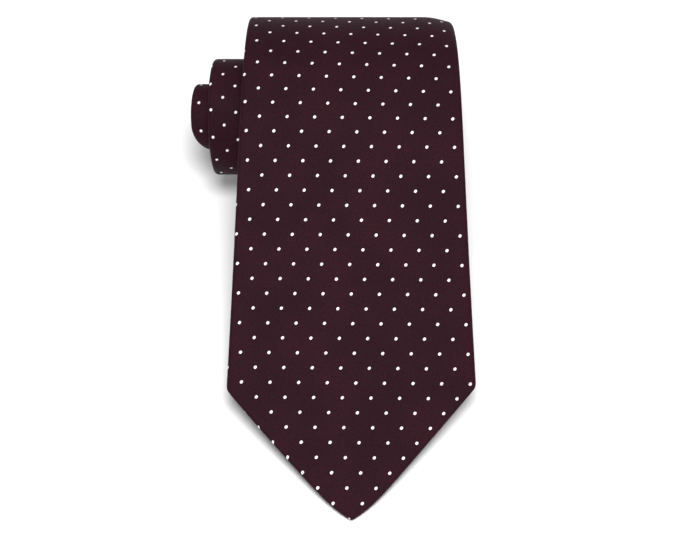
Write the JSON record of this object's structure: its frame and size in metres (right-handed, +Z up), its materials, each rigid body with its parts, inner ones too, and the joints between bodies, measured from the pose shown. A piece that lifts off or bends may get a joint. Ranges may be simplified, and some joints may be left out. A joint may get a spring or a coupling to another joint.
{
  "type": "necktie",
  "caption": "Dotted silk necktie rolled up from its narrow end, with its wide pointed blade left free in front and the inner turns slid out to the left.",
  "frame": {"origin": "centre of the part's bounding box in X and Y, on the surface it rests on", "axes": "+X along the axis of the roll, to the right as seen from the blade's tip; +Y from the tip towards the roll; +Z up"},
  "size_m": [0.105, 0.206, 0.0747],
  "materials": {
    "silk": "twill silk with small raised dots, soft sheen",
    "keeper_silk": "the same silk, folded into a strip",
    "interlining": "brushed wool, matte",
    "tipping": "plain lining cloth, satin",
    "thread": "twisted sewing thread",
    "label_satin": "woven satin, blank"
  },
  "bodies": {
    "roll": {"blade_rolled_shell": "silk", "neck_shell": "silk", "blade_neck_seam": "thread", "blade_rolled_interlining": "interlining", "blade_rolled_slip_stitch": "thread", "keeper_loop": "keeper_silk", "keeper_stitches": "thread", "label": "label_satin", "label_stitches": "thread", "care_tag": "label_satin"},
    "blade_upper": {"blade_upper_shell": "silk", "blade_upper_interlining": "interlining", "blade_upper_tipping": "tipping", "blade_bar_tack": "thread", "blade_upper_slip_stitch": "thread"},
    "blade_middle": {"blade_middle_shell": "silk", "blade_middle_interlining": "interlining", "blade_middle_tipping": "tipping"},
    "blade_tip": {"blade_tip_shell": "silk", "blade_tip_interlining": "interlining", "blade_tip_tipping": "tipping"},
    "middle_turns": {"tail_shell": "silk", "neck_tail_seam": "thread", "tail_interlining": "interlining", "tail_slip_stitch": "thread"},
    "core_turns": {"tail_end_shell": "silk", "tail_end_interlining": "interlining", "tail_end_tipping": "tipping", "tail_bar_tack": "thread", "tail_end_slip_stitch": "thread", "spare_thread_loop": "thread"}
  },
  "joints": [
    {"name": "blade_upper_bend", "type": "hinge", "parent": "roll", "child": "blade_upper", "pos_m": [0.00812, 0.01516, 0.05605], "axis": [-1, 0, 0], "range_deg": [0, 26]},
    {"name": "blade_middle_bend", "type": "hinge", "parent": "blade_upper", "child": "blade_middle", "pos_m": [0.00812, -0.0108, 0.04103], "axis": [-1, 0, 0], "range_deg": [0, 26]},
    {"name": "blade_tip_bend", "type": "hinge", "parent": "blade_middle", "child": "blade_tip", "pos_m": [0.00812, -0.03769, 0.02773], "axis": [-1, 0, 0], "range_deg": [0, 26]},
    {"name": "middle_turns_slide", "type": "slide", "parent": "roll", "child": "middle_turns", "axis": [1, 0, 0], "range_m": [-0.012, 0.0145]},
    {"name": "core_turns_slide", "type": "slide", "parent": "middle_turns", "child": "core_turns", "axis": [1, 0, 0], "range_m": [-0.012, 0.007]}
  ],
  "couplings": [
    {"joint": "blade_middle_bend", "follows": "blade_upper_bend", "ratio": 1},
    {"joint": "blade_tip_bend", "follows": "blade_upper_bend", "ratio": 1}
  ]
}
